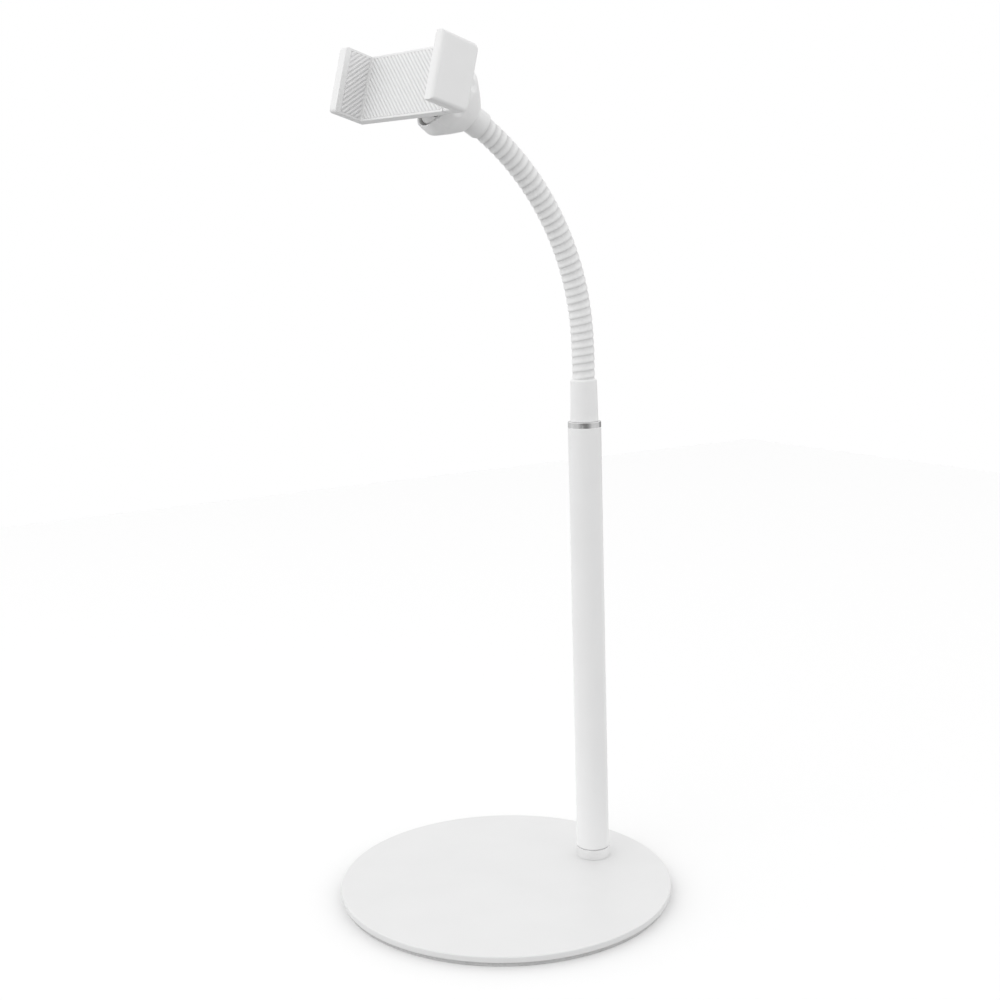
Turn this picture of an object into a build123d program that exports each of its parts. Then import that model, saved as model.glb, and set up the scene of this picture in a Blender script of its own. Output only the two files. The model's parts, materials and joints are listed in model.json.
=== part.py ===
"""Phone holder on a gooseneck: a round weighted base, a pole, a flexible neck and a sprung phone clamp.

Millimetres. The origin is the centre of the base's underside, +Z is up, the clamp faces -Y and the pole
stands at +Y. The neck bends in the plane x = 0. The clamp's own frame has X along its width towards the
moving jaw, Y up and Z out of the plate towards the phone.
"""
import os
from math import cos, radians, sin, sqrt, tan

from build123d import *

# Fits and gaps between pieces
seat_clearance = 0.05
bolt_clearance = 0.2
running_clearance = 0.06
moving_gap = 0.3

# Base
base_diameter = 160.0
plate_thickness = 3.0
plate_edge_radius = 0.8
pad_thickness = 2.0
pad_inset = 1.2
pole_setback = 27.8

# Pole with its chrome rings
pole_diameter = 16.0
pole_wall = 1.2
tube_length = 212.0
foot_ring_diameter = 16.8
foot_ring_height = 5.0
top_ring_height = 3.0
ring_chamfer = 0.2
plug_length = 14.0

# Threaded stud and bolt that hold the pole
stud_diameter = 8.0
stud_grip = 9.0
bolt_reach = 10.0
bolt_head_diameter = 14.0
bolt_head_height = 1.6
bolt_socket_size = 5.0
bolt_socket_depth = 1.0
head_pocket_gap = 2.0

# Lower collar, which holds the neck on the pole
lower_collar_diameter = 13.5
lower_collar_top_diameter = 12.6
lower_collar_length = 20.4
collar_lip_radius = 1.1

# Neck: links of a few coil turns each, with the coil's ridges
link_count = 9
turns_per_link = 4
coil_pitch = 3.69
neck_diameter = 11.0
coil_root_diameter = 10.2
neck_tail_diameter = 8.8
neck_tail_length = 9.0
link_bend_deg = 6.7
upright_links = 1.5
link_end_slope_deg = 11.5
link_tip_gap = 0.3

# Upper collar and ball socket on the neck's end, measured from the neck's last link
upper_collar_diameter = 12.7
socket_stem_diameter = 7.0
ball_distance = 21.0
ball_diameter = 14.0
ball_gap = 0.15
hub_diameter = 16.4
hub_length = 2.9
hub_floor = 1.6
socket_diameter = 20.8
socket_mouth = 2.0
finger_length = 4.4
finger_tip_diameter = 17.6
seat_diameter = 12.2
seat_floor = 0.8
slit_count = 4
slit_width = 1.0
slit_depth = 5.0

# Lobed lock nut round the socket
nut_rear = 8.9
nut_length = 16.8
nut_rear_diameter = 15.4
nut_shoulder_diameter = 23.4
nut_shoulder = 4.3
nut_diameter = 34.8
nut_waist = 5.5
nut_belly_radius = 6.0
nut_rim_diameter = 32.8
nut_rim_wall = 1.2
nut_core_width = 1.2
nut_core_depth = 3.0
nut_face_drop = 0.6
nut_back_wall = 2.0
nut_throat_gap = 0.35
lobe_count = 8
lobe_groove_radius = 4.2
lobe_groove_depth = 1.7
lobe_phase_deg = 22.5

# Pose of the clamp on its ball, as it stands in use
clamp_yaw_deg = 11.3
clamp_tilt_deg = 15.0
clamp_roll_deg = -1.3
ball_to_plate = 22.0
stud_offset_x = 4.2
stud_offset_y = -1.6

# Ball stud with its flange and retaining ring
stem_diameter = 6.4
stem_flange_diameter = 10.4
stem_flange_thickness = 1.5
ring_diameter = 9.2
ring_thickness = 1.0
ring_bore = 4.4
stud_end_play = 0.15

# Clamp housing
plate_width = 56.7
clamp_height = 29.4
shell_depth = 4.2
cover_thickness = 1.8
cover_inset = 2.4
cover_edge_radius = 0.8
cover_boss_diameter = 13.0
cover_boss_height = 2.8
jaw_thickness = 5.1
jaw_depth = 14.6
jaw_end_radius = 1.5
shell_edge_radius = 0.7

# Moving jaw with its tongue
foot_width = 5.2
jaw_back_radius = 3.0
jaw_face_radius = 2.0
jaw_travel = 26.0
tongue_hold = 12.0
tongue_height = 12.0
tongue_thickness = 1.7
channel_wall = 2.0

# Springs that pull the moving jaw in
spring_diameter = 1.8
spring_wire = 0.4
spring_spacing = 7.0

# Rubber pads with slanted ribs
pad_rim = 1.0
jaw_pad_end_rim = 3.0
recess_depth = 0.8
pad_base = 0.6
rib_margin = 0.2
rib_height = 0.35
rib_width = 0.8
rib_pitch = 1.5
rib_slant_deg = 45.0

# Screws of the rear cover
screw_diameter = 2.2
screw_head_diameter = 4.0
screw_head_height = 0.8
screw_reach = 2.2
screw_tip_gap = 0.2
screw_inset = 4.0
screw_edge = 2.7

# Heights along the pole
base_radius = base_diameter / 2
base_top = pad_thickness + plate_thickness
pole_y = base_radius - pole_setback
tube_bottom = base_top + foot_ring_height
tube_top = tube_bottom + tube_length
ring_top = tube_top + top_ring_height
collar_top = ring_top + lower_collar_length
plug_diameter = pole_diameter - 2 * pole_wall - 2 * seat_clearance
thread_diameter = stud_diameter + 2 * seat_clearance
bolt_hole = stud_diameter + 2 * bolt_clearance
pole_axis = Axis((0, pole_y, 0), (0, 0, 1))


def pole_plane(height):
    """Level plane centred on the pole."""
    return Plane(origin=(0, pole_y, height), x_dir=(1, 0, 0), z_dir=(0, 0, 1))


def widest_rims(builder):
    """Round edges of the largest radius on a part."""
    return builder.edges().filter_by(GeomType.CIRCLE).group_by(SortBy.RADIUS)[-1]


# Base plate, steel with a rounded rim
with BuildPart() as base_plate:
    with BuildSketch(Plane.XY.offset(pad_thickness)):
        Circle(base_radius)
        with Locations((0, pole_y)):
            Circle(bolt_hole / 2, mode=Mode.SUBTRACT)
    extrude(amount=plate_thickness)
    fillet(widest_rims(base_plate), plate_edge_radius)
base_plate.part.label = "base_plate"

# Anti-slip pad under the plate, with a hole for the bolt's head
with BuildPart() as base_pad:
    with BuildSketch(Plane.XY):
        Circle(base_radius - pad_inset)
        with Locations((0, pole_y)):
            Circle(bolt_head_diameter / 2 + head_pocket_gap, mode=Mode.SUBTRACT)
    extrude(amount=pad_thickness)
base_pad.part.label = "base_pad"

# Flat-headed bolt from below into the pole
with BuildPart() as pole_bolt:
    with BuildSketch(pole_plane(pad_thickness - bolt_head_height)):
        Circle(bolt_head_diameter / 2)
    extrude(amount=bolt_head_height)
    with BuildSketch(pole_plane(pad_thickness)):
        Circle(stud_diameter / 2)
    extrude(amount=plate_thickness + foot_ring_height + bolt_reach)
    with BuildSketch(pole_plane(pad_thickness - bolt_head_height)):
        RegularPolygon(bolt_socket_size / 2, 6, major_radius=False)
    extrude(amount=bolt_socket_depth, mode=Mode.SUBTRACT)
pole_bolt.part.label = "pole_bolt"

# Chrome ring at the pole's foot
with BuildPart() as foot_ring:
    with BuildSketch(pole_plane(base_top)):
        Circle(foot_ring_diameter / 2)
        Circle(bolt_hole / 2, mode=Mode.SUBTRACT)
    extrude(amount=foot_ring_height)
    chamfer(widest_rims(foot_ring), ring_chamfer)
foot_ring.part.label = "foot_ring"

# Pole tube
with BuildPart() as pole_tube:
    with BuildSketch(pole_plane(tube_bottom)):
        Circle(pole_diameter / 2)
        Circle(pole_diameter / 2 - pole_wall, mode=Mode.SUBTRACT)
    extrude(amount=tube_length)
pole_tube.part.label = "pole_tube"


def threaded_plug(bottom):
    """Plug pressed into one end of the tube, bored for the thread."""
    with BuildPart() as plug:
        with BuildSketch(pole_plane(bottom)):
            Circle(plug_diameter / 2)
            Circle(thread_diameter / 2, mode=Mode.SUBTRACT)
        extrude(amount=plug_length)
    return plug.part


bottom_plug = threaded_plug(tube_bottom)
bottom_plug.label = "bottom_plug"
top_plug = threaded_plug(tube_top - plug_length)
top_plug.label = "top_plug"

# Chrome ring at the pole's top, flush with the tube
with BuildPart() as top_ring:
    with BuildSketch(pole_plane(tube_top)):
        Circle(pole_diameter / 2)
        Circle(bolt_hole / 2, mode=Mode.SUBTRACT)
    extrude(amount=top_ring_height)
    chamfer(widest_rims(top_ring), ring_chamfer)
top_ring.part.label = "top_ring"

# Stud that joins the top plug and the lower collar
with BuildPart() as neck_stud:
    with BuildSketch(pole_plane(tube_top - plug_length)):
        Circle(stud_diameter / 2)
    extrude(amount=plug_length + top_ring_height + stud_grip)
neck_stud.part.label = "neck_stud"

# Lower collar: a tapered sleeve, threaded below and bored for the neck's tail above
tail_bore = neck_tail_diameter / 2 + seat_clearance
with BuildPart() as lower_collar:
    with BuildSketch(Plane.YZ):
        with BuildLine():
            Polyline(
                (pole_y + thread_diameter / 2, ring_top),
                (pole_y + lower_collar_diameter / 2, ring_top),
                (pole_y + lower_collar_top_diameter / 2, collar_top),
                (pole_y + tail_bore, collar_top),
                (pole_y + tail_bore, collar_top - neck_tail_length),
                (pole_y + thread_diameter / 2, collar_top - neck_tail_length),
                close=True,
            )
        make_face()
    revolve(axis=pole_axis)
    top_rims = lower_collar.edges().filter_by(GeomType.CIRCLE).group_by(Axis.Z)[-1]
    fillet(top_rims.sort_by(SortBy.RADIUS)[-1], collar_lip_radius)
lower_collar.part.label = "lower_collar"

# Neck: straight links set end to end on a curve, each ribbed by the coil and coned at its free ends
link_length = turns_per_link * coil_pitch
crest_radius = neck_diameter / 2
root_radius = coil_root_diameter / 2
end_slope = tan(radians(link_end_slope_deg))


def link_heading(number):
    """Lean of a link from the vertical, in radians; the first link stands upright."""
    return radians(link_bend_deg * max(number - upright_links, 0))


def link_direction(number):
    """Unit vector along a link."""
    heading = link_heading(number)
    return Vector(0, -sin(heading), cos(heading))


def link_start(number):
    """Point where a link meets the one below it."""
    point = Vector(0, pole_y, collar_top)
    for lower in range(1, number):
        point = point + link_direction(lower) * link_length
    return point


def ridge_profile(number):
    """Half section of a link as (radius, height) points, from its lower to its upper end."""
    rise = (crest_radius - root_radius) / (coil_pitch / 2)
    meet = (link_tip_gap / 2 + end_slope * root_radius) / (1 - end_slope * rise)
    groove = (root_radius + rise * meet, meet)
    points = []
    if number == 1:
        points += [(0, -neck_tail_length), (neck_tail_diameter / 2, -neck_tail_length)]
        points += [(neck_tail_diameter / 2, 0), (root_radius, 0)]
    else:
        points += [(0, link_tip_gap / 2), groove]
    for turn in range(turns_per_link):
        points.append((crest_radius, (turn + 0.5) * coil_pitch))
        if turn < turns_per_link - 1:
            points.append((root_radius, (turn + 1) * coil_pitch))
    points += [(groove[0], link_length - groove[1]), (0, link_length - link_tip_gap / 2)]
    return points


neck_links = []
for number in range(1, link_count + 1):
    along = link_direction(number)
    foot = link_start(number)
    with BuildPart() as neck_link:
        with BuildSketch(Plane(origin=foot, x_dir=(1, 0, 0), z_dir=-along.cross(Vector(1, 0, 0)))):
            with BuildLine():
                Polyline(*ridge_profile(number), close=True)
            make_face()
        revolve(axis=Axis(foot, along))
    neck_link.part.label = f"neck_link_{number}"
    neck_links.append(neck_link.part)

# Frame of the neck's end: its axis carries the collar, the socket and the nut
head_axis = link_direction(link_count + 1)
neck_end = link_start(link_count + 1)
head_side = Plane(origin=neck_end, x_dir=(1, 0, 0), z_dir=-head_axis.cross(Vector(1, 0, 0)))
head_line = Axis(neck_end, head_axis)


def head_plane(distance):
    """Plane across the neck's end axis."""
    return Plane(origin=neck_end + head_axis * distance, x_dir=(1, 0, 0), z_dir=head_axis)


def cone_height(radius):
    """Height of a coned neck end above the point where two links meet."""
    return link_tip_gap / 2 + end_slope * radius


# Stations along the neck's end axis
ball_radius = ball_diameter / 2
cup_radius = ball_radius + ball_gap
socket_front = ball_distance + socket_mouth
bore_radius = seat_diameter / 2 + running_clearance
bore_bottom = ball_distance - cup_radius - seat_floor - stud_end_play
bore_top = ball_distance - sqrt(cup_radius**2 - bore_radius**2)
mouth_radius = sqrt(cup_radius**2 - socket_mouth**2)
socket_rear = bore_bottom - hub_floor
thread_start = socket_rear + hub_length
thread_end = socket_front - finger_length

# Neck end: the coil's last stretch, held in the upper collar
with BuildPart() as neck_end_plug:
    with BuildSketch(head_side):
        with BuildLine():
            Polyline(
                (0, cone_height(0)),
                (neck_tail_diameter / 2, cone_height(neck_tail_diameter / 2)),
                (neck_tail_diameter / 2, neck_tail_length),
                (0, neck_tail_length),
                close=True,
            )
        make_face()
    revolve(axis=head_line)
neck_end_plug.part.label = "neck_end"

# Upper collar: a sleeve over the neck's end, bored in front for the socket's stem
stem_bore = socket_stem_diameter / 2 + seat_clearance
with BuildPart() as upper_collar:
    with BuildSketch(head_side):
        with BuildLine():
            Polyline(
                (tail_bore, cone_height(tail_bore)),
                (upper_collar_diameter / 2, cone_height(upper_collar_diameter / 2)),
                (upper_collar_diameter / 2, socket_rear),
                (stem_bore, socket_rear),
                (stem_bore, neck_tail_length),
                (tail_bore, neck_tail_length),
                close=True,
            )
        make_face()
    revolve(axis=head_line)
    fillet(widest_rims(upper_collar).sort_by(head_line)[0], collar_lip_radius)
upper_collar.part.label = "upper_collar"

# Ball socket: threaded outside, with slit fingers that close on the ball
with BuildPart() as ball_socket:
    with BuildSketch(head_side):
        with BuildLine():
            Polyline(
                (mouth_radius, socket_front),
                (finger_tip_diameter / 2, socket_front),
                (socket_diameter / 2, thread_end),
                (socket_diameter / 2, thread_start),
                (hub_diameter / 2, thread_start),
                (hub_diameter / 2, socket_rear),
                (socket_stem_diameter / 2, socket_rear),
                (socket_stem_diameter / 2, neck_tail_length),
                (0, neck_tail_length),
                (0, bore_bottom),
                (bore_radius, bore_bottom),
                (bore_radius, bore_top),
            )
            ThreePointArc((bore_radius, bore_top), (cup_radius, ball_distance), (mouth_radius, socket_front))
        make_face()
    revolve(axis=head_line)
    with BuildSketch(head_plane(socket_front)):
        with PolarLocations(0, slit_count // 2, angular_range=180):
            Rectangle(socket_diameter, slit_width)
    extrude(amount=-slit_depth, mode=Mode.SUBTRACT)
ball_socket.part.label = "ball_socket"

# Ball seat: a friction cup under the ball, free to turn in the socket
with BuildPart() as ball_seat:
    with BuildSketch(head_side):
        with BuildLine():
            edge_height = ball_distance - sqrt(cup_radius**2 - (seat_diameter / 2) ** 2)
            Polyline(
                (0, ball_distance - cup_radius),
                (0, bore_bottom + stud_end_play),
                (seat_diameter / 2, bore_bottom + stud_end_play),
                (seat_diameter / 2, edge_height),
            )
            RadiusArc((seat_diameter / 2, edge_height), (0, ball_distance - cup_radius), cup_radius)
        make_face()
    revolve(axis=head_line)
ball_seat.part.label = "ball_seat"

# Lock nut: a lobed bell on the socket's thread, with a narrow core behind its rim
nut_front = nut_rear + nut_length
nut_bore = socket_diameter / 2 + moving_gap / 2
hub_bore = hub_diameter / 2 + moving_gap
throat = finger_tip_diameter / 2 + nut_throat_gap
core_outer = nut_rim_diameter / 2 - nut_rim_wall
core_inner = core_outer - nut_core_width
groove_reach = nut_diameter / 2 - lobe_groove_depth + lobe_groove_radius
with BuildPart() as lock_nut:
    with BuildSketch(head_side):
        with BuildLine():
            Polyline(
                (upper_collar_diameter / 2 + moving_gap, nut_rear),
                (nut_rear_diameter / 2, nut_rear),
                (nut_shoulder_diameter / 2, nut_rear + nut_shoulder),
                (nut_diameter / 2, nut_front - nut_waist),
                (nut_rim_diameter / 2, nut_front),
                (core_outer, nut_front),
                (core_outer, nut_front - nut_core_depth),
                (core_inner, nut_front - nut_core_depth),
                (core_inner, nut_front - nut_face_drop),
                (throat, socket_front),
                (nut_bore, thread_end),
                (nut_bore, thread_start - moving_gap),
                (hub_bore, thread_start - moving_gap),
                (hub_bore, nut_rear + nut_back_wall),
                (upper_collar_diameter / 2 + moving_gap, nut_rear + nut_back_wall),
                close=True,
            )
        make_face()
    revolve(axis=head_line)
    fillet(widest_rims(lock_nut), nut_belly_radius)
    with BuildSketch(head_plane(nut_rear)):
        with PolarLocations(groove_reach, lobe_count, start_angle=lobe_phase_deg):
            Circle(lobe_groove_radius)
    extrude(amount=nut_length, mode=Mode.SUBTRACT)
lock_nut.part.label = "lock_nut"

# Frame of the clamp: its plate's centre, its three directions and its planes
yaw = radians(clamp_yaw_deg)
tilt = radians(clamp_tilt_deg)
roll = radians(clamp_roll_deg)
out = Vector(sin(yaw) * cos(tilt), -cos(yaw) * cos(tilt), sin(tilt))
level = Vector(cos(yaw), sin(yaw), 0)
wide = level * cos(roll) + out.cross(level) * sin(roll)
tall = out.cross(wide)
ball_centre = neck_end + head_axis * ball_distance
plate_centre = ball_centre - wide * stud_offset_x - tall * stud_offset_y + out * ball_to_plate
front_plane = Plane(origin=plate_centre, x_dir=wide, z_dir=out)
side_plane = Plane(origin=plate_centre, x_dir=wide, z_dir=-tall)
wide_axis = Axis(plate_centre, wide)
out_axis = Axis(plate_centre, out)


def clamp_point(x, y, z):
    """Point given in the clamp's own frame."""
    return plate_centre + wide * x + tall * y + out * z


# Stations across the clamp
fixed_face = -plate_width / 2
fixed_outer = fixed_face - jaw_thickness
seam = plate_width / 2
foot_start = seam + moving_gap
moving_face = seam + foot_width
cover_back = -shell_depth - cover_thickness
boss_back = cover_back - cover_boss_height
counterbore_floor = -shell_depth - ring_thickness - 2 * stud_end_play
channel_depth = tongue_thickness + 2 * moving_gap
tongue_length = jaw_travel + tongue_hold

# Ball stud: ball, flange and stem, in a running fit in the cover's boss
stud_plane = Plane(origin=ball_centre, x_dir=wide, z_dir=-tall)
flange_front = ball_to_plate + boss_back - stud_end_play
shoulder = ball_to_plate + counterbore_floor + stud_end_play
stem_start = sqrt(ball_radius**2 - (stem_diameter / 2) ** 2)
with BuildPart() as ball_stud:
    with BuildSketch(stud_plane):
        with BuildLine():
            ThreePointArc((0, -ball_radius), (ball_radius, 0), (stem_diameter / 2, stem_start))
            Polyline(
                (stem_diameter / 2, stem_start),
                (stem_diameter / 2, flange_front - stem_flange_thickness),
                (stem_flange_diameter / 2, flange_front - stem_flange_thickness),
                (stem_flange_diameter / 2, flange_front),
                (stem_diameter / 2, flange_front),
                (stem_diameter / 2, shoulder),
                (ring_bore / 2, shoulder),
                (ring_bore / 2, shoulder + ring_thickness),
                (0, shoulder + ring_thickness),
                (0, -ball_radius),
            )
        make_face()
    revolve(axis=Axis(ball_centre, out))
ball_stud.part.label = "ball_stud"

# Retaining ring on the stud's end, inside the cover
with BuildPart() as stud_ring:
    with BuildSketch(Plane(origin=ball_centre + out * shoulder, x_dir=wide, z_dir=out)):
        Circle(ring_diameter / 2)
        Circle(ring_bore / 2 + seat_clearance, mode=Mode.SUBTRACT)
    extrude(amount=ring_thickness)
stud_ring.part.label = "stud_ring"

# Places of the cover's screws, in the clamp's plane
cover_left = fixed_outer + cover_inset
cover_height = clamp_height - 2 * cover_inset
screw_left = cover_left + screw_inset
screw_right = seam - screw_inset
screw_row = cover_height / 2 - screw_edge
screw_places = [(x, y) for x in (screw_left, screw_right) for y in (-screw_row, screw_row)]

# Back pad and jaw pads: where they sit
back_pad_width = plate_width - 2 * pad_rim
back_pad_height = clamp_height - 2 * pad_rim
jaw_pad_depth = jaw_depth - pad_rim - jaw_pad_end_rim
jaw_pad_middle = pad_rim + jaw_pad_depth / 2
fixed_pad_plane = Plane(origin=clamp_point(fixed_face, 0, jaw_pad_middle), x_dir=out, z_dir=wide)
moving_pad_plane = Plane(origin=clamp_point(moving_face, 0, jaw_pad_middle), x_dir=out, z_dir=-wide)

# Clamp body: front shell and fixed jaw in one moulding, with recesses for the pads and a channel behind
channel_height = tongue_height + 2 * moving_gap
channel_left = fixed_face + channel_wall
with BuildPart() as clamp_body:
    with BuildSketch(side_plane):
        with BuildLine():
            Polyline(
                (fixed_outer, -shell_depth),
                (seam, -shell_depth),
                (seam, 0),
                (fixed_face, 0),
                (fixed_face, jaw_depth),
                (fixed_outer, jaw_depth),
                close=True,
            )
        make_face()
    extrude(amount=clamp_height / 2, both=True)
    fillet(clamp_body.edges().filter_by(wide_axis).group_by(out_axis)[-1], jaw_end_radius)
    fillet(clamp_body.edges().group_by(wide_axis)[0], shell_edge_radius)
    with BuildSketch(front_plane):
        Rectangle(back_pad_width, back_pad_height)
    extrude(amount=-recess_depth, mode=Mode.SUBTRACT)
    with BuildSketch(fixed_pad_plane):
        Rectangle(jaw_pad_depth, back_pad_height)
    extrude(amount=-recess_depth, mode=Mode.SUBTRACT)
    with BuildSketch(front_plane.offset(-shell_depth)):
        with Locations(((channel_left + seam) / 2, 0)):
            Rectangle(seam - channel_left, channel_height)
    extrude(amount=channel_depth, mode=Mode.SUBTRACT)
    with BuildSketch(front_plane.offset(-shell_depth)):
        with Locations(*screw_places):
            Circle(screw_diameter / 2 + seat_clearance)
    extrude(amount=screw_reach + screw_tip_gap, mode=Mode.SUBTRACT)
clamp_body.part.label = "clamp_body"

# Rear cover with the boss that carries the ball stud
screw_seat = cover_back + screw_head_height
with BuildPart() as rear_cover:
    with BuildSketch(front_plane.offset(-shell_depth)):
        with Locations(((cover_left + seam) / 2, 0)):
            Rectangle(seam - cover_left, cover_height)
    extrude(amount=-cover_thickness)
    fillet(rear_cover.edges().group_by(out_axis)[0], cover_edge_radius)
    with BuildSketch(front_plane.offset(cover_back)):
        with Locations((stud_offset_x, stud_offset_y)):
            Circle(cover_boss_diameter / 2)
    extrude(amount=-cover_boss_height)
    with BuildSketch(front_plane.offset(boss_back)):
        with Locations((stud_offset_x, stud_offset_y)):
            Circle(stem_diameter / 2 + running_clearance)
    extrude(amount=cover_thickness + cover_boss_height, mode=Mode.SUBTRACT)
    with BuildSketch(front_plane.offset(counterbore_floor)):
        with Locations((stud_offset_x, stud_offset_y)):
            Circle(ring_diameter / 2 + moving_gap)
    extrude(amount=-shell_depth - counterbore_floor, mode=Mode.SUBTRACT)
    with BuildSketch(front_plane.offset(cover_back)):
        with Locations(*screw_places):
            Circle(screw_diameter / 2 + bolt_clearance)
    extrude(amount=cover_thickness, mode=Mode.SUBTRACT)
    with BuildSketch(front_plane.offset(cover_back)):
        with Locations(*screw_places):
            Circle(screw_head_diameter / 2 + bolt_clearance)
    extrude(amount=screw_head_height, mode=Mode.SUBTRACT)
rear_cover.part.label = "rear_cover"

# Screws of the rear cover
with BuildPart() as cover_screws:
    with BuildSketch(front_plane.offset(screw_seat)):
        with Locations(*screw_places):
            Circle(screw_head_diameter / 2)
    extrude(amount=-screw_head_height)
    with BuildSketch(front_plane.offset(screw_seat)):
        with Locations(*screw_places):
            Circle(screw_diameter / 2)
    extrude(amount=-shell_depth - screw_seat + screw_reach)
cover_screws.part.label = "cover_screws"


def ribbed_pad(face, width, height, slant_deg):
    """Rubber pad in a recess, with slanted ribs across it."""
    count = int((width + height) / rib_pitch)
    with BuildPart() as pad:
        with BuildSketch(face.offset(-recess_depth)):
            Rectangle(width - 2 * seat_clearance, height - 2 * seat_clearance)
        extrude(amount=pad_base)
        with BuildSketch(face.offset(pad_base - recess_depth)):
            with Locations(Location((0, 0), slant_deg)):
                with GridLocations(0, rib_pitch, 1, count):
                    Rectangle(width + height, rib_width)
            Rectangle(width - 2 * rib_margin, height - 2 * rib_margin, mode=Mode.INTERSECT)
        extrude(amount=rib_height)
    return pad.part


back_pad = ribbed_pad(front_plane, back_pad_width, back_pad_height, -rib_slant_deg)
back_pad.label = "back_pad"
fixed_jaw_pad = ribbed_pad(fixed_pad_plane, jaw_pad_depth, back_pad_height, rib_slant_deg)
fixed_jaw_pad.label = "fixed_jaw_pad"
moving_jaw_pad = ribbed_pad(moving_pad_plane, jaw_pad_depth, back_pad_height, -rib_slant_deg)
moving_jaw_pad.label = "moving_jaw_pad"

# Moving jaw: jaw plate, foot and the tongue that slides in the channel
tongue_end = seam - tongue_length
tongue_back = -shell_depth + moving_gap
with BuildPart() as moving_jaw:
    with BuildSketch(side_plane):
        with BuildLine():
            Polyline(
                (foot_start, cover_back),
                (moving_face + jaw_thickness, cover_back),
                (moving_face + jaw_thickness, jaw_depth),
                (moving_face, jaw_depth),
                (moving_face, 0),
                (foot_start, 0),
                close=True,
            )
        make_face()
    extrude(amount=clamp_height / 2, both=True)
    fillet(moving_jaw.edges().filter_by(wide_axis).group_by(out_axis)[0], jaw_back_radius)
    fillet(moving_jaw.edges().group_by(wide_axis)[-1], jaw_face_radius)
    with BuildSketch(moving_pad_plane):
        Rectangle(jaw_pad_depth, back_pad_height)
    extrude(amount=-recess_depth, mode=Mode.SUBTRACT)
    with BuildSketch(front_plane.offset(tongue_back)):
        with Locations(((tongue_end + moving_face) / 2, 0)):
            Rectangle(moving_face - tongue_end, tongue_height)
    extrude(amount=tongue_thickness)
moving_jaw.part.label = "moving_jaw"

# Two closing springs in the channel, between its end wall and the tongue
spring_start = channel_left + seat_clearance
spring_length = tongue_end - seat_clearance - spring_start
spring_depth = tongue_back + tongue_thickness / 2
with BuildPart() as jaw_springs:
    with BuildSketch(Plane(origin=clamp_point(spring_start, 0, spring_depth), x_dir=tall, z_dir=wide)):
        with Locations((-spring_spacing / 2, 0), (spring_spacing / 2, 0)):
            Circle(spring_diameter / 2)
            Circle(spring_diameter / 2 - spring_wire, mode=Mode.SUBTRACT)
    extrude(amount=spring_length)
jaw_springs.part.label = "jaw_springs"

# Write one file for each piece
pieces = [
    base_plate.part,
    base_pad.part,
    pole_bolt.part,
    foot_ring.part,
    pole_tube.part,
    bottom_plug,
    top_plug,
    top_ring.part,
    neck_stud.part,
    lower_collar.part,
    *neck_links,
    neck_end_plug.part,
    upper_collar.part,
    ball_socket.part,
    ball_seat.part,
    lock_nut.part,
    ball_stud.part,
    stud_ring.part,
    clamp_body.part,
    rear_cover.part,
    cover_screws.part,
    back_pad,
    fixed_jaw_pad,
    moving_jaw_pad,
    moving_jaw.part,
    jaw_springs.part,
]
os.makedirs("parts", exist_ok=True)
for piece in pieces:
    export_step(piece, f"parts/{piece.label}.step")
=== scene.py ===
"""Phone holder on a gooseneck, dressed over its CAD frame.

Metres, in the CAD frame: the base's underside lies on z = 0, the clamp faces -Y and the pole stands at +Y.
"""
import json
import math

import bmesh
import bpy
import numpy as np
from bpy.props import FloatProperty, FloatVectorProperty, IntProperty, PointerProperty
from mathutils import Matrix, Vector

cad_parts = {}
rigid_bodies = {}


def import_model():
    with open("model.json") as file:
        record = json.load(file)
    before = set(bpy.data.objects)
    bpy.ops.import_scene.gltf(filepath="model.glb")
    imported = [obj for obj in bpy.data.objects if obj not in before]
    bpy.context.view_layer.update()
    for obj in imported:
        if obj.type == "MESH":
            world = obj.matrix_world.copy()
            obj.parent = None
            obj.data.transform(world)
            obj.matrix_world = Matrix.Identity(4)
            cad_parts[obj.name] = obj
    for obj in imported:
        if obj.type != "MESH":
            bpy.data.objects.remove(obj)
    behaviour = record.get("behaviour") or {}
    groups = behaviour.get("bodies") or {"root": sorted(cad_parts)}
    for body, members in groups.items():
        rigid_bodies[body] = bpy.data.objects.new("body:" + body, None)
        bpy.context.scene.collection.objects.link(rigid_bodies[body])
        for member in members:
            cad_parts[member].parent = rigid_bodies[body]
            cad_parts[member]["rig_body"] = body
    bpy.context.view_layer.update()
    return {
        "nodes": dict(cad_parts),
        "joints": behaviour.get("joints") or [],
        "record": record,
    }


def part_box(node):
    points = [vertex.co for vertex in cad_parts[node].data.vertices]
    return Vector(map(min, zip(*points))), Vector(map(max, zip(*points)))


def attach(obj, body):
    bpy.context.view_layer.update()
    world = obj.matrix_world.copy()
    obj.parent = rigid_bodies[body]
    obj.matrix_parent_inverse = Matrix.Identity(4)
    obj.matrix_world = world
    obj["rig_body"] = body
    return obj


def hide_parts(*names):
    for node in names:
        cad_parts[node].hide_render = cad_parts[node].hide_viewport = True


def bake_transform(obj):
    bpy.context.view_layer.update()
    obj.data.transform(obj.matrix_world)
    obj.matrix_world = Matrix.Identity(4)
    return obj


bl_info = {
    "name": "Gooseneck Phone Holder",
    "version": (1, 0, 0),
    "blender": (4, 5, 0),
    "location": "View3D > Sidebar > Holder",
    "description": "Dresses a desk phone holder with a coiled neck, a lobed lock nut and a sprung clamp",
    "category": "Object",
}

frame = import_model()
joints = {joint["name"]: joint for joint in frame["joints"]}
mounts = {mount["name"]: mount for mount in frame["record"]["mounts"]}
node_slots = {part["node"]: part["material_slot"] for part in frame["record"]["subparts"]}

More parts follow.
